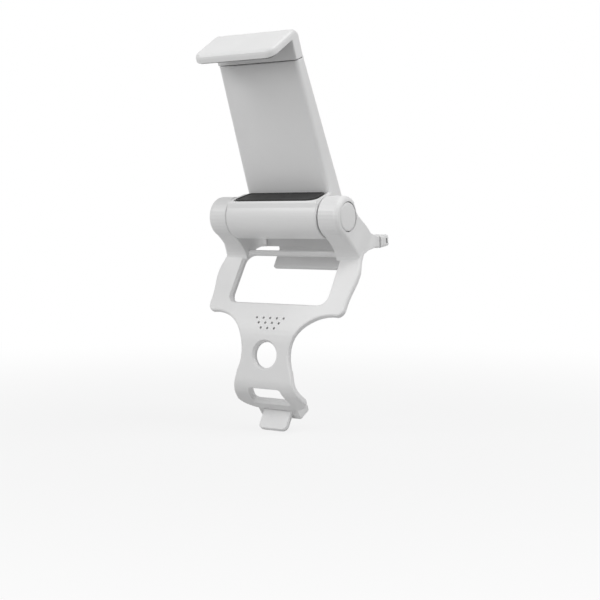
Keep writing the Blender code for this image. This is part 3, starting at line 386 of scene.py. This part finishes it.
def surface(name, points, body, slot, stands_for):
    """A closed smooth piece from a grid of points (rows, columns, 3). The columns run round and join up, and
    the first and last rows are single points in the middle of each end, so each end closes as a fan. With no
    body given, the piece is attached to no body."""
    rows, columns = points.shape[:2]
    verts = np.vstack((points[0, :1], points[1:-1].reshape(-1, 3), points[-1, :1]))
    ring = np.arange(columns)
    after = (ring + 1) % columns
    start = 1 + np.arange(rows - 3)[:, None] * columns
    quads = np.stack((start + ring, start + after, start + columns + after, start + columns + ring), -1)
    last = 1 + (rows - 3) * columns
    first_fan = np.stack((np.zeros(columns, int), after + 1, ring + 1), -1)
    last_fan = np.stack((np.full(columns, len(verts) - 1), last + ring, last + after), -1)
    mesh = bpy.data.meshes.new(name)
    mesh.from_pydata(verts.tolist(), [],
                     quads.reshape(-1, 4).tolist() + first_fan.tolist() + last_fan.tolist())
    mesh.materials.append(finish_of(slot))
    mesh.shade_smooth()
    made = bpy.data.objects.new(name, mesh)
    bpy.context.scene.collection.objects.link(made)
    if enclosed_volume(mesh) < 0.0:
        mesh.flip_normals()
    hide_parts(stands_for)
    if body:
        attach(made, body)
    return made


def falling_arc(radius, start=90.0, steps=EDGE_STEPS):
    """Points (out, up) of a circle's arc about its middle, radius * (cos t, sin t), from a start angle in
    degrees down to 0."""
    turn = np.radians(np.linspace(start, 0.0, steps))
    return radius * np.stack((np.cos(turn), np.sin(turn)), -1)


def turned(profile, along, out, side, centre):
    """A profile of (distance from the axis, place on the axis) turned all round: each point of the grid is
    centre + along * place + distance * (out * cos t + side * sin t), with t from 0 to a full turn."""
    turn = np.linspace(0.0, 2.0 * np.pi, ROUND_COLUMNS, endpoint=False)
    spoke = np.cos(turn)[:, None] * out + np.sin(turn)[:, None] * side
    return centre + profile[:, None, 1:] * along + profile[:, None, :1] * spoke


def rounded_outline(corners, radii):
    """Points and outward directions round a polygon that is listed anticlockwise. Each corner is an arc whose
    middle is the corner - radius * (n1 + n2) / (1 + n1 . n2), where n1 and n2 are its two sides' outward
    directions, and the arc turns from n1 to n2."""
    side = np.roll(corners, -1, 0) - corners
    side /= np.linalg.norm(side, axis=1)[:, None]
    after = np.stack((side[:, 1], -side[:, 0]), -1)
    before = np.roll(after, 1, 0)
    meet = np.einsum("ij,ij->i", before, after)
    middle = corners - radii[:, None] * (before + after) / (1.0 + meet)[:, None]
    start = np.arctan2(before[:, 1], before[:, 0])[:, None]
    turn = start + np.arccos(meet)[:, None] * np.linspace(0.0, 1.0, CORNER_STEPS)
    out = np.stack((np.cos(turn), np.sin(turn)), -1)
    return (middle[:, None] + radii[:, None, None] * out).reshape(-1, 2), out.reshape(-1, 2)


# Carried-over pieces

class CLIP_OT_mouldings(bpy.types.Operator):
    """Finish the white mouldings, which come with the frame"""
    bl_idname = "phone_clip.mouldings"
    bl_label = "White mouldings"

    def execute(self, context):
        dress(("face_frame", "rear_hook", "lower_jaw", "back_cover", "upper_jaw"), "white_abs")
        return {"FINISHED"}


class CLIP_OT_hinge_parts(bpy.types.Operator):
    """Finish the bolt, nut and washers inside the ears"""
    bl_idname = "phone_clip.hinge_parts"
    bl_label = "Hinge parts"

    def execute(self, context):
        dress(("hinge_bolt", "hinge_nut"), "zinc_steel")
        dress(("spring_washer",), "spring_steel")
        dress(("friction_washer_left", "friction_washer_right"), "acetal")
        return {"FINISHED"}


# Hinge caps

# the bevel round the inner face, and points from the middle of the outer face to its rim
CAP_FOOT_BEVEL = 0.0002
CAP_FACE_STEPS = 14


def hinge_cap(name, side):
    """A cap as a turned shape. From the middle of its outer face the height falls as crown * (1 - (r / R)^2)
    to a rim rounded by a quarter circle, then it runs straight to its flat inner face. The side is 1 for the
    right and -1 for the left."""
    sizes = bpy.context.scene.clip_sizes
    low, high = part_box(name)
    radius = (high.z - low.z) / 2.0
    outer = max(abs(low.x), abs(high.x))
    inner = min(abs(low.x), abs(high.x))
    reach = np.linspace(0.0, radius - sizes.cap_round, CAP_FACE_STEPS)
    face = np.stack((reach, outer + sizes.cap_crown * (1.0 - (reach / radius) ** 2)), -1)
    rim = falling_arc(sizes.cap_round) + (radius - sizes.cap_round, outer - sizes.cap_round)
    foot = np.array(((radius, inner + CAP_FOOT_BEVEL), (radius - CAP_FOOT_BEVEL, inner), (0.0, inner)))
    profile = np.vstack((face, rim[1:], foot))
    profile[:, 1] *= side
    centre = np.array((0.0, (low.y + high.y) / 2.0, (low.z + high.z) / 2.0))
    grid = turned(profile, ACROSS, UP_BACK, FORWARD, centre)
    surface(name + "_moulded", grid, "bracket", "white_abs", name)


class CLIP_OT_hinge_caps(bpy.types.Operator):
    """Make the two round caps on the ears"""
    bl_idname = "phone_clip.hinge_caps"
    bl_label = "Hinge caps"

    def execute(self, context):
        hinge_cap("hinge_cap_right", 1.0)
        hinge_cap("hinge_cap_left", -1.0)
        return {"FINISHED"}


# Grip pads

# thicknesses, and corner radii: two at the rear, then two in front
LOWER_PAD_THICK = 0.0012
LOWER_PAD_RADII = np.array((0.0018, 0.0018, 0.0034, 0.0034))
UPPER_PAD_THICK = 0.0008
UPPER_PAD_RADII = np.array((0.0006, 0.0006, 0.0028, 0.0028))
# the lower pad narrows to this share of its width at the rear, and the upper one has hardly any bead
LOWER_PAD_REAR_SHARE = 0.93
UPPER_PAD_BEAD = 0.00001
# a bead's slope is this many times as wide as it is high, and its level crest and foot are these shares
# of the slope's width
BEAD_SLOPE = 2.5
BEAD_CREST = 0.4
BEAD_FOOT = 0.1
# rings of points from a pad's middle to its bead, and up the bead
FACE_RINGS = 8
BEAD_STEPS = 7
# how close to a pad's end a vertex lies to belong to it
END_REACH = 0.00001


def pad_seat(name, side):
    """A pad's lowest and highest corners, and the height of its face as a function of the place forward: a
    straight line through the face's rear and front ends. The side is 1 for a face that looks up along the
    back plate, and -1 for one that looks down."""
    local = clamp_points(name)
    low, high = local.min(0), local.max(0)
    rear = side * (side * local[local[:, 2] < low[2] + END_REACH, 1]).max()
    front = side * (side * local[local[:, 2] > high[2] - END_REACH, 1]).max()

    def height(forward):
        return rear + (front - rear) * (forward - low[2]) / (high[2] - low[2])
    return low, high, height


def grip_pad(name, body, corners, radii, height, thick, side, bead):
    """A rubber pad on a sloping seat. Its outline in (across, forward) is carried from the middle of the face
    out to the rim, up a bead by bead * (1 - cos(pi u)) / 2, round a quarter circle, down the side and back
    to the middle. A point lies at height(forward) + side * rise, where the rise is 0 on the face and -thick
    underneath."""
    edge = bpy.context.scene.clip_sizes.pad_round
    outline, out = rounded_outline(corners, radii)
    middle = corners.mean(0)
    share = np.linspace(0.0, 1.0, FACE_RINGS, endpoint=False)
    climb = np.linspace(0.0, 1.0, BEAD_STEPS)
    run = BEAD_SLOPE * bead
    inset = -edge - run * (1.0 + BEAD_CREST - climb)
    slope = np.stack((inset, bead * (0.5 - 0.5 * np.cos(np.pi * climb))), -1)
    foot = slope[:1] - (BEAD_FOOT * run, 0.0)
    rim = falling_arc(edge) + (-edge, bead - edge)
    wall = np.array(((0.0, -thick + edge / 2.0), (-edge / 2.0, -thick)))
    profile = np.vstack((foot, slope, rim, wall))
    face = middle + (outline + out * profile[0, 0] - middle) * share[:, None, None]
    border = outline + out * profile[:, None, :1]
    under = middle + (border[-1] - middle) * share[::-1, None, None]
    plan = np.concatenate((face, border, under))
    rise = np.concatenate((np.zeros(len(face)), profile[:, 1], np.full(len(under), -thick)))
    local = np.stack((plan[..., 0], height(plan[..., 1]) + side * rise[:, None], plan[..., 1]), -1)
    surface(name + "_moulded", clamp_place(local), body, "pad_rubber", name)


class CLIP_OT_pads(bpy.types.Operator):
    """Make the two rubber pads that grip the phone"""
    bl_idname = "phone_clip.pads"
    bl_label = "Grip pads"

    def execute(self, context):
        low, high, height = pad_seat("lower_pad", 1.0)
        rear_half = LOWER_PAD_REAR_SHARE * high[0]
        corners = np.array(((-rear_half, low[2]), (rear_half, low[2]),
                            (high[0], high[2]), (-high[0], high[2])))
        grip_pad("lower_pad", "clamp", corners, LOWER_PAD_RADII, height, LOWER_PAD_THICK, 1.0,
                 context.scene.clip_sizes.pad_bead)
        low, high, height = pad_seat("upper_pad", -1.0)
        corners = np.array(((low[0], low[2]), (high[0], low[2]), (high[0], high[2]), (low[0], high[2])))
        grip_pad("upper_pad", "upper_jaw", corners, UPPER_PAD_RADII, height, UPPER_PAD_THICK, -1.0,
                 UPPER_PAD_BEAD)
        return {"FINISHED"}


# Jaw springs

# points along a turn and round the wire, and how much closer than the mean the end turns lie
TURN_STEPS = 20
WIRE_SIDES = 8
END_CLOSENESS = 0.40


def wound_spring(name):
    """A wire of radius w on a coil of radius R. Its middle line is R * (cos a, sin a) about the spring's
    axis, and its place along the axis is s - closeness * sin(2 pi s) / (2 pi) of the length, so the end turns
    lie close together as they do on a real pull spring. Round each point, the wire's skin is
    w * (cos b * outward + sin b * across)."""
    sizes = bpy.context.scene.clip_sizes
    wire = sizes.spring_wire
    local = clamp_points(name)
    low, high = local.min(0), local.max(0)
    centre = (low + high) / 2.0
    radius = (high[0] - low[0]) / 2.0 - wire
    rows = sizes.spring_turns * TURN_STEPS
    share = np.linspace(0.0, 1.0, rows)
    turn = 2.0 * np.pi * sizes.spring_turns * share
    eased = share - END_CLOSENESS * np.sin(2.0 * np.pi * share) / (2.0 * np.pi)
    climb = low[1] + wire + (high[1] - low[1] - 2.0 * wire) * eased
    outward = np.stack((np.cos(turn), np.zeros(rows), np.sin(turn)), -1)
    line = np.stack((centre[0] + radius * outward[:, 0], climb, centre[2] + radius * outward[:, 2]), -1)
    along = np.gradient(line, axis=0)
    along /= np.linalg.norm(along, axis=1)[:, None]
    across = np.cross(along, outward)
    round_wire = np.linspace(0.0, 2.0 * np.pi, WIRE_SIDES, endpoint=False)[:, None]
    offset = np.cos(round_wire) * outward[:, None] + np.sin(round_wire) * across[:, None]
    skin = line[:, None] + wire * offset
    ends = np.repeat(line[[0, -1], None], WIRE_SIDES, 1)
    grid = clamp_place(np.concatenate((ends[:1], skin, ends[1:])))
    made = surface(name + "_wound", grid, None, "spring_steel", name)
    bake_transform(made)


class CLIP_OT_springs(bpy.types.Operator):
    """Wind the two pull springs inside the back housing"""
    bl_idname = "phone_clip.springs"
    bl_label = "Jaw springs"

    def execute(self, context):
        wound_spring("jaw_spring_left")
        wound_spring("jaw_spring_right")
        return {"FINISHED"}


# Screws

# thickness of the heads of the cover's screws and of the rear hook's
COVER_SCREW_HEAD = 0.0006
HOOK_SCREW_HEAD = 0.0013
# shares of a head's radius: its rounded edge, its dome's rise, its shank, and the cross recess
HEAD_ROUND = 0.18
HEAD_DOME = 0.12
SHANK_RADIUS = 0.55
RECESS_REACH = 0.66
RECESS_DEPTH = 0.32
# how steeply a recess gets shallower toward its arms' ends, and the width of its sides
RECESS_SLOPE = 1.6
RECESS_SIDE = 0.0001
# points from the middle of a head to its edge, then the edge's arc: the angle it starts at and its points
DOME_STEPS = 26
HEAD_EDGE_START = 80.0
HEAD_EDGE_STEPS = 6


def cross_recess(across, over, reach, width):
    """How deep a cross recess is at a place on a screw's head, from 0 to 1. It is the deeper of two arms. An
    arm is 1 inside its width and falls to 0 over its sides, and that is multiplied by
    slope * (1 - length / reach), kept between 0 and 1, so the arm gets shallower toward its ends."""
    def arm(length, breadth):
        inside = np.clip(((width + RECESS_SIDE) / 2.0 - np.abs(breadth)) / RECESS_SIDE, 0.0, 1.0)
        return inside * np.clip(RECESS_SLOPE * (1.0 - np.abs(length) / reach), 0.0, 1.0)
    return np.maximum(arm(across, over), arm(over, across))


def cross_head_screw(name, body, outward, head_thick):
    """A pan head screw as a profile turned about its axis: a low dome that falls as dome * R * (r / R)^2,
    with the cross recess sunk into it, a rim rounded by an arc, the head's side, and a shank that ends in a
    point."""
    over = np.cross(outward, ACROSS)
    spans = mesh_points(NODES[name].data) @ np.array((ACROSS, over, outward)).T
    low, high = spans.min(0), spans.max(0)
    top, foot = high[2], low[2]
    radius = (high[0] - low[0]) / 2.0
    edge = HEAD_ROUND * radius
    shank = SHANK_RADIUS * radius
    reach = np.linspace(0.0, radius - edge, DOME_STEPS)
    dome = np.stack((reach, top - HEAD_DOME * radius * (reach / radius) ** 2), -1)
    rim = falling_arc(edge, HEAD_EDGE_START, HEAD_EDGE_STEPS) + (radius - edge, dome[-1, 1] - edge)
    below = np.array(((radius, top - head_thick), (shank, top - head_thick),
                      (shank, foot + shank), (0.0, foot)))
    centre = ACROSS * (low[0] + high[0]) / 2.0 + over * (low[1] + high[1]) / 2.0
    grid = turned(np.vstack((dome, rim[1:], below)), outward, ACROSS, over, centre)
    spot = grid[:len(dome)] - centre
    width = bpy.context.scene.clip_sizes.recess_width
    sunk = cross_recess(spot @ ACROSS, spot @ over, RECESS_REACH * radius, width)
    grid[:len(dome)] -= RECESS_DEPTH * radius * sunk[..., None] * outward
    surface(name + "_cut", grid, body, "zinc_steel", name)


class CLIP_OT_screws(bpy.types.Operator):
    """Make the six screws with their cross recesses"""
    bl_idname = "phone_clip.screws"
    bl_label = "Screws"

    def execute(self, context):
        for number in (1, 2, 3, 4):
            cross_head_screw("cover_screw_%d" % number, "clamp", -FORWARD, COVER_SCREW_HEAD)
        for side in ("left", "right"):
            cross_head_screw("rear_hook_screw_" + side, "bracket", OUT_OF_HOOK, HOOK_SCREW_HEAD)
        return {"FINISHED"}


# Floor, light and camera

WHITE = (1.0, 1.0, 1.0, 1.0)
# half the floor's width, and how far it lies under the clip
FLOOR_HALF = 6.0
FLOOR_GAP = 0.0005
# how far from the clip the floor starts to brighten to plain white and where it has, and the share of
# white that it starts from
WHITE_FROM = 0.08
WHITE_BY = 0.40
WHITE_SHARE = 0.84
# each lamp's name, the setting that holds its power, its width and its place
LAMPS = (
    ("key_lamp", "key_power", 0.4, (-0.45, -0.60, 0.60)),
    ("front_lamp", "front_power", 0.4, (-0.05, -0.95, 0.30)),
    ("top_lamp", "top_power", 0.5, (0.50, 0.10, 0.75)),
    ("side_lamp", "side_power", 0.6, (0.75, -0.10, 0.25)),
)
LAMPS_AIM = Vector((0.0, 0.0, 0.03))
# the camera as the photograph was taken: its lens and sensor in millimetres, its place, and the directions
# to its right and behind it
LENS = 78.0
SENSOR = 36.0
SEEN_FROM = (0.2957, -0.4177, 0.0367)
RIGHT_OF_VIEW = (0.8267, 0.5626, 0.0)
BEHIND_VIEW = (0.5615, -0.8250, 0.0621)


def placed(name, data):
    """A new object for a mesh, lamp or camera."""
    made = bpy.data.objects.new(name, data)
    bpy.context.scene.collection.objects.link(made)
    return made


def seen_rays(tree):
    """1 for camera, glossy and transmitted rays, and 0 for the rays that light the object."""
    rays = node(tree, "ShaderNodeLightPath").outputs
    plain = node(tree, "ShaderNodeMath", {"operation": "MAXIMUM"}, None,
                 {0: rays["Is Camera Ray"], 1: rays["Is Glossy Ray"]})
    return node(tree, "ShaderNodeMath", {"operation": "MAXIMUM"}, None,
                {0: plain.outputs["Value"], 1: rays["Is Transmission Ray"]}).outputs["Value"]


def mix_into(tree, end, amount, lit, white):
    """Mix a lit shader with a white one by an amount, and link the result to the tree's output node."""
    mixed = node(tree, "ShaderNodeMixShader", None, None, {0: amount, 1: lit, 2: white})
    tree.links.new(mixed.outputs["Shader"], tree.nodes[end].inputs["Surface"])


def pale_studio_floor():
    """Matt painted board. To the eye it brightens to plain white as it leaves the clip, so it has no
    horizon, and close to the clip it keeps a faint shadow."""
    colours = bpy.context.scene.clip_colours
    made, tree, place = started("pale_studio_floor", {"Base Color": colours.floor, "Roughness": 0.9})
    away = node(tree, "ShaderNodeVectorMath", {"operation": "LENGTH"}, None, {0: place})
    share = node(tree, "ShaderNodeMapRange", {"interpolation_type": "SMOOTHSTEP"},
                 {"From Min": WHITE_FROM, "From Max": WHITE_BY, "To Min": WHITE_SHARE, "To Max": 1.0},
                 {"Value": away.outputs["Value"]})
    amount = node(tree, "ShaderNodeMath", {"operation": "MULTIPLY"}, None,
                  {0: seen_rays(tree), 1: share.outputs["Result"]})
    white = node(tree, "ShaderNodeEmission", None, {"Color": WHITE, "Strength": 1.0})
    mix_into(tree, "Material Output", amount.outputs["Value"],
             tree.nodes["Principled BSDF"].outputs["BSDF"], white.outputs["Emission"])
    return made


def lay_floor():
    """A square floor just under the clip."""
    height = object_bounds()[0][2] - FLOOR_GAP
    corners = ((-1.0, -1.0), (1.0, -1.0), (1.0, 1.0), (-1.0, 1.0))
    mesh = bpy.data.meshes.new("floor")
    mesh.from_pydata([(x * FLOOR_HALF, y * FLOOR_HALF, height) for x, y in corners], [], [(0, 1, 2, 3)])
    mesh.materials.append(pale_studio_floor())
    placed("floor", mesh)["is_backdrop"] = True


def light_room(scene):
    """Even light from all round, which looks plain white to the eye."""
    world = bpy.data.worlds.new("studio_room")
    scene.world = world
    world.use_nodes = True
    tree = world.node_tree
    room = tree.nodes["Background"]
    room.inputs["Color"].default_value = WHITE
    room.inputs["Strength"].default_value = scene.clip_stage.room
    white = node(tree, "ShaderNodeBackground", None, {"Color": WHITE, "Strength": 1.0})
    mix_into(tree, "World Output", seen_rays(tree), room.outputs["Background"], white.outputs["Background"])


def area_lamp(name, power, width, place):
    """A soft square lamp that points at the clip."""
    lamp = bpy.data.lights.new(name, "AREA")
    lamp.energy = power
    lamp.size = width
    made = placed(name, lamp)
    made.location = place
    made.rotation_euler = (LAMPS_AIM - Vector(place)).to_track_quat("-Z", "Y").to_euler()


def set_camera(scene):
    """The camera at the photograph's viewing angle."""
    camera = bpy.data.cameras.new("camera")
    camera.sensor_width = SENSOR
    camera.lens = LENS
    camera.clip_start = 0.01
    right = Vector(RIGHT_OF_VIEW).normalized()
    back = Vector(BEHIND_VIEW).normalized()
    up = back.cross(right).normalized()
    right = up.cross(back).normalized()
    made = placed("camera", camera)
    made.matrix_world = Matrix.Translation(SEEN_FROM) @ Matrix((right, up, back)).transposed().to_4x4()
    scene.camera = made


class CLIP_OT_stage(bpy.types.Operator):
    """Set up the pale floor, the soft light and the camera"""
    bl_idname = "phone_clip.stage"
    bl_label = "Floor, light and camera"

    def execute(self, context):
        scene = context.scene
        lay_floor()
        light_room(scene)
        for name, setting, width, place in LAMPS:
            area_lamp(name, getattr(scene.clip_stage, setting), width, place)
        set_camera(scene)
        scene.view_settings.view_transform = "Standard"
        return {"FINISHED"}


# Sidebar and registration

class CLIP_PT_sidebar(bpy.types.Panel):
    """The clip's settings and steps"""
    bl_label = "Phone Clip"
    bl_space_type = "VIEW_3D"
    bl_region_type = "UI"
    bl_category = "Phone Clip"

    def draw(self, context):
        scene = context.scene
        settings = (("Colours", scene.clip_colours), ("Sizes", scene.clip_sizes), ("Stage", scene.clip_stage))
        for title, group in settings:
            box = self.layout.box()
            box.label(text=title)
            for name in group.__annotations__:
                box.prop(group, name)
        for step in STEPS:
            self.layout.operator(step.bl_idname)


GROUPS = (ClipColours, ClipSizes, ClipStage)
STEPS = (CLIP_OT_stage, CLIP_OT_mouldings, CLIP_OT_hinge_parts, CLIP_OT_hinge_caps, CLIP_OT_pads,
         CLIP_OT_springs, CLIP_OT_screws)


def register():
    """Make the settings, the steps and the panel known to Blender."""
    for group in GROUPS + STEPS + (CLIP_PT_sidebar,):
        bpy.utils.register_class(group)
    bpy.types.Scene.clip_colours = bpy.props.PointerProperty(type=ClipColours)
    bpy.types.Scene.clip_sizes = bpy.props.PointerProperty(type=ClipSizes)
    bpy.types.Scene.clip_stage = bpy.props.PointerProperty(type=ClipStage)


def unregister():
    """Take them out again."""
    del bpy.types.Scene.clip_stage
    del bpy.types.Scene.clip_sizes
    del bpy.types.Scene.clip_colours
    for group in reversed(GROUPS + STEPS + (CLIP_PT_sidebar,)):
        bpy.utils.unregister_class(group)


def main():
    """Run every step in order."""
    register()
    for step in STEPS:
        area, name = step.bl_idname.split(".")
        getattr(getattr(bpy.ops, area), name)()


if __name__ == "__main__":
    main()
